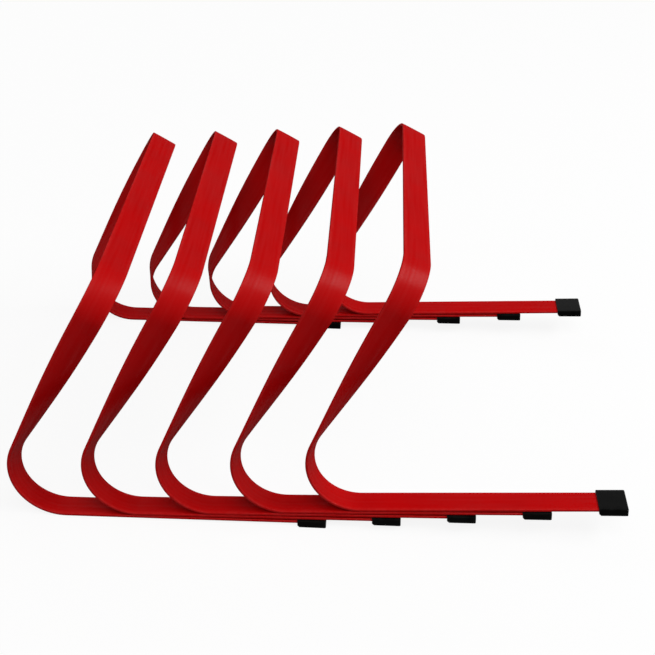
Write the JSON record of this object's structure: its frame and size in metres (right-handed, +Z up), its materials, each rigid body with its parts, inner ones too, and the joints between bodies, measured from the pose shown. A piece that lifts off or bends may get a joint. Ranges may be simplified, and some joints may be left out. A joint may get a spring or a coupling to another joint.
{
  "type": "nested set of speed hurdles",
  "caption": "Low training hurdles, each one bent and twisted flat plastic strip with push-on foot caps, nested one into the next and lifted off one at a time.",
  "frame": {"origin": "on the floor, under the middle of the nested set's bounding box", "axes": "+X along the feet towards their capped ends, +Y along the crossbars towards the far side in the picture, +Z up"},
  "size_m": [0.7058, 0.5006, 0.3259],
  "materials": {
    "red_band": "semi-gloss extruded strip",
    "black_cap": "satin soft moulding"
  },
  "bodies": {
    "hurdle_1": {"hurdle_1_band": "red_band", "hurdle_1_left_cap": "black_cap", "hurdle_1_right_cap": "black_cap"},
    "hurdle_2": {"hurdle_2_band": "red_band", "hurdle_2_left_cap": "black_cap", "hurdle_2_right_cap": "black_cap"},
    "hurdle_3": {"hurdle_3_band": "red_band", "hurdle_3_left_cap": "black_cap", "hurdle_3_right_cap": "black_cap"},
    "hurdle_4": {"hurdle_4_band": "red_band", "hurdle_4_left_cap": "black_cap", "hurdle_4_right_cap": "black_cap"},
    "hurdle_5": {"hurdle_5_band": "red_band", "hurdle_5_left_cap": "black_cap", "hurdle_5_right_cap": "black_cap"}
  },
  "joints": [
    {"name": "hurdle_2_lift", "type": "slide", "parent": "hurdle_1", "child": "hurdle_2", "axis": [0.4803, 0, 0.8771], "range_m": [0, 0.36]},
    {"name": "hurdle_3_lift", "type": "slide", "parent": "hurdle_2", "child": "hurdle_3", "axis": [0.4714, 0, 0.8819], "range_m": [0, 0.36]},
    {"name": "hurdle_4_lift", "type": "slide", "parent": "hurdle_3", "child": "hurdle_4", "axis": [0.4625, 0, 0.8866], "range_m": [0, 0.36]},
    {"name": "hurdle_5_lift", "type": "slide", "parent": "hurdle_4", "child": "hurdle_5", "axis": [0.4535, 0, 0.8913], "range_m": [0, 0.36]}
  ]
}
